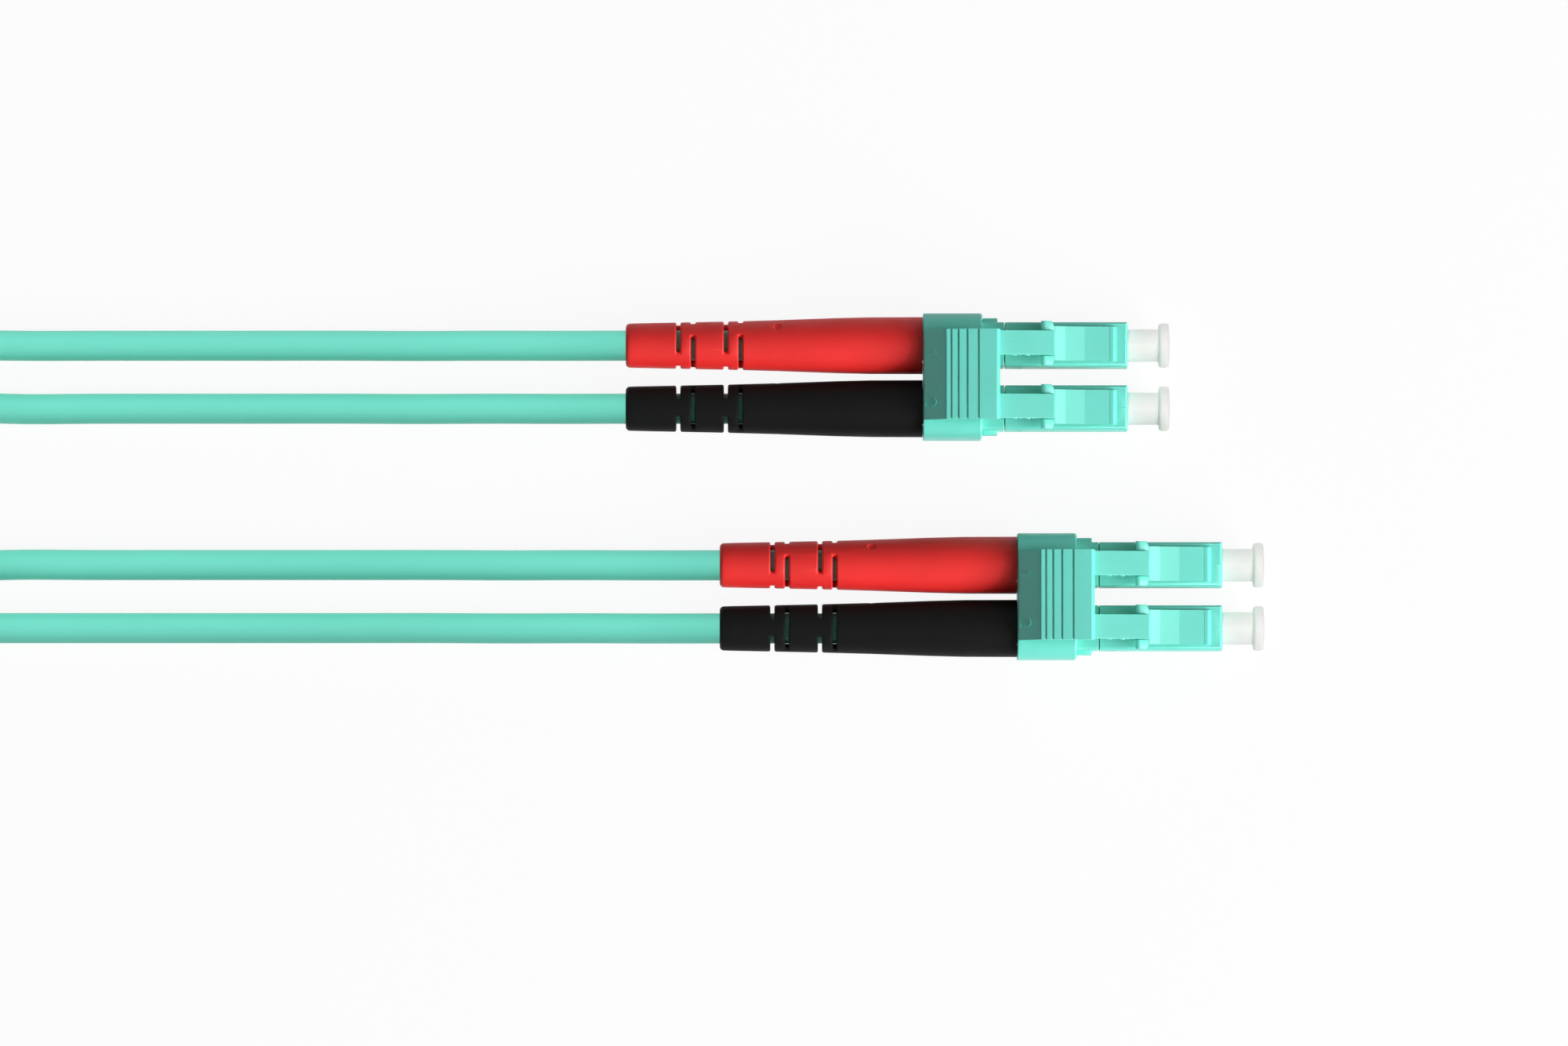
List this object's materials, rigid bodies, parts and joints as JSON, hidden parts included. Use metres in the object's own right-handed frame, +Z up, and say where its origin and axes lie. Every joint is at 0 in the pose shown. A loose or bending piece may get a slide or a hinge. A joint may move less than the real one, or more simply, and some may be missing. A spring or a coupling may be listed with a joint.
{
  "type": "fiber optic patch cord",
  "caption": "Fibre optic patch cord: duplex latching plugs with dust caps and strain-relief boots, joined by twin jacketed legs wound in a tied hank.",
  "frame": {"origin": "centre of the outline of the two plugs, on the surface that they rest on; the cord legs, their hank and its tie are left out of that outline", "axes": "+X along the plugs towards their ferrule tips, +Y from the second plug to the first, +Z up from the resting surface to the latches"},
  "size_m": [0.2325, 0.0359, 0.0161],
  "materials": {
    "teal_plastic": "moulded, satin",
    "cord_jacket": "extruded jacket, soft sheen",
    "red_rubber": "moulded, matt",
    "black_rubber": "moulded, matt",
    "white_plastic": "soft, slightly translucent",
    "ceramic": "polished zirconia",
    "plated_metal": "nickel plated",
    "spring_steel": "drawn wire",
    "buffered_fibre": "tight buffer",
    "aramid": "fine parallel yarns",
    "tie_fabric": "woven hook and loop"
  },
  "bodies": {
    "patch_cord": {"end1_red_front_housing": "teal_plastic", "end1_red_rear_body": "teal_plastic", "end1_red_spring": "spring_steel", "end1_red_fibre": "buffered_fibre", "end1_red_aramid_yarn": "aramid", "end1_red_crimp_sleeve": "plated_metal", "end1_red_boot": "red_rubber", "end1_black_front_housing": "teal_plastic", "end1_black_rear_body": "teal_plastic", "end1_black_spring": "spring_steel", "end1_black_fibre": "buffered_fibre", "end1_black_aramid_yarn": "aramid", "end1_black_crimp_sleeve": "plated_metal", "end1_black_boot": "black_rubber", "end2_red_front_housing": "teal_plastic", "end2_red_rear_body": "teal_plastic", "end2_red_spring": "spring_steel", "end2_red_fibre": "buffered_fibre", "end2_red_aramid_yarn": "aramid", "end2_red_crimp_sleeve": "plated_metal", "end2_red_boot": "red_rubber", "end2_black_front_housing": "teal_plastic", "end2_black_rear_body": "teal_plastic", "end2_black_spring": "spring_steel", "end2_black_fibre": "buffered_fibre", "end2_black_aramid_yarn": "aramid", "end2_black_crimp_sleeve": "plated_metal", "end2_black_boot": "black_rubber", "end1_clip": "teal_plastic", "end2_clip": "teal_plastic", "leg1_at_end1": "cord_jacket", "leg1_at_end2": "cord_jacket", "leg1_hank": "cord_jacket", "leg2_at_end1": "cord_jacket", "leg2_at_end2": "cord_jacket", "leg2_hank": "cord_jacket", "hank_tie": "tie_fabric"},
    "end1_trigger_body": {"end1_trigger": "teal_plastic"},
    "end1_red_latch_body": {"end1_red_latch": "teal_plastic"},
    "end1_red_ferrule_body": {"end1_red_ferrule": "ceramic", "end1_red_ferrule_flange": "plated_metal"},
    "end1_red_dust_cap_body": {"end1_red_dust_cap": "white_plastic"},
    "end1_black_latch_body": {"end1_black_latch": "teal_plastic"},
    "end1_black_ferrule_body": {"end1_black_ferrule": "ceramic", "end1_black_ferrule_flange": "plated_metal"},
    "end1_black_dust_cap_body": {"end1_black_dust_cap": "white_plastic"},
    "end2_trigger_body": {"end2_trigger": "teal_plastic"},
    "end2_red_latch_body": {"end2_red_latch": "teal_plastic"},
    "end2_red_ferrule_body": {"end2_red_ferrule": "ceramic", "end2_red_ferrule_flange": "plated_metal"},
    "end2_red_dust_cap_body": {"end2_red_dust_cap": "white_plastic"},
    "end2_black_latch_body": {"end2_black_latch": "teal_plastic"},
    "end2_black_ferrule_body": {"end2_black_ferrule": "ceramic", "end2_black_ferrule_flange": "plated_metal"},
    "end2_black_dust_cap_body": {"end2_black_dust_cap": "white_plastic"}
  },
  "joints": [
    {"name": "end1_trigger_press", "type": "hinge", "parent": "patch_cord", "child": "end1_trigger_body", "pos_m": [-0.00165, 0.01087, 0.0069], "axis": [0, 1, 0], "range_deg": [0, 3.75], "stiffness_Nm_per_rad": 0.2},
    {"name": "end1_red_latch_flex", "type": "hinge", "parent": "patch_cord", "child": "end1_red_latch_body", "pos_m": [0.0159, 0.014, 0.0058], "axis": [0, -1, 0], "range_deg": [0, 9], "stiffness_Nm_per_rad": 0.05},
    {"name": "end1_red_ferrule_slide", "type": "slide", "parent": "patch_cord", "child": "end1_red_ferrule_body", "axis": [1, 0, 0], "range_m": [-0.001, 0], "stiffness_N_per_m": 1000, "springref_m": 0.005, "deforming": ["end1_red_spring"]},
    {"name": "end1_red_dust_cap_pull", "type": "slide", "parent": "patch_cord", "child": "end1_red_dust_cap_body", "axis": [1, 0, 0], "range_m": [0, 0.006]},
    {"name": "end1_black_latch_flex", "type": "hinge", "parent": "patch_cord", "child": "end1_black_latch_body", "pos_m": [0.0159, 0.00775, 0.0058], "axis": [0, -1, 0], "range_deg": [0, 9], "stiffness_Nm_per_rad": 0.05},
    {"name": "end1_black_ferrule_slide", "type": "slide", "parent": "patch_cord", "child": "end1_black_ferrule_body", "axis": [1, 0, 0], "range_m": [-0.001, 0], "stiffness_N_per_m": 1000, "springref_m": 0.005, "deforming": ["end1_black_spring"]},
    {"name": "end1_black_dust_cap_pull", "type": "slide", "parent": "patch_cord", "child": "end1_black_dust_cap_body", "axis": [1, 0, 0], "range_m": [0, 0.006]},
    {"name": "end2_trigger_press", "type": "hinge", "parent": "patch_cord", "child": "end2_trigger_body", "pos_m": [0.00765, -0.01087, 0.0069], "axis": [0, 1, 0], "range_deg": [0, 3.75], "stiffness_Nm_per_rad": 0.2},
    {"name": "end2_red_latch_flex", "type": "hinge", "parent": "patch_cord", "child": "end2_red_latch_body", "pos_m": [0.0252, -0.00775, 0.0058], "axis": [0, -1, 0], "range_deg": [0, 9], "stiffness_Nm_per_rad": 0.05},
    {"name": "end2_red_ferrule_slide", "type": "slide", "parent": "patch_cord", "child": "end2_red_ferrule_body", "axis": [1, 0, 0], "range_m": [-0.001, 0], "stiffness_N_per_m": 1000, "springref_m": 0.005, "deforming": ["end2_red_spring"]},
    {"name": "end2_red_dust_cap_pull", "type": "slide", "parent": "patch_cord", "child": "end2_red_dust_cap_body", "axis": [1, 0, 0], "range_m": [0, 0.006]},
    {"name": "end2_black_latch_flex", "type": "hinge", "parent": "patch_cord", "child": "end2_black_latch_body", "pos_m": [0.0252, -0.014, 0.0058], "axis": [0, -1, 0], "range_deg": [0, 9], "stiffness_Nm_per_rad": 0.05},
    {"name": "end2_black_ferrule_slide", "type": "slide", "parent": "patch_cord", "child": "end2_black_ferrule_body", "axis": [1, 0, 0], "range_m": [-0.001, 0], "stiffness_N_per_m": 1000, "springref_m": 0.005, "deforming": ["end2_black_spring"]},
    {"name": "end2_black_dust_cap_pull", "type": "slide", "parent": "patch_cord", "child": "end2_black_dust_cap_body", "axis": [1, 0, 0], "range_m": [0, 0.006]}
  ],
  "couplings": [
    {"joint": "end1_red_latch_flex", "follows": "end1_trigger_press", "ratio": 2.4},
    {"joint": "end1_black_latch_flex", "follows": "end1_trigger_press", "ratio": 2.4},
    {"joint": "end2_red_latch_flex", "follows": "end2_trigger_press", "ratio": 2.4},
    {"joint": "end2_black_latch_flex", "follows": "end2_trigger_press", "ratio": 2.4}
  ]
}
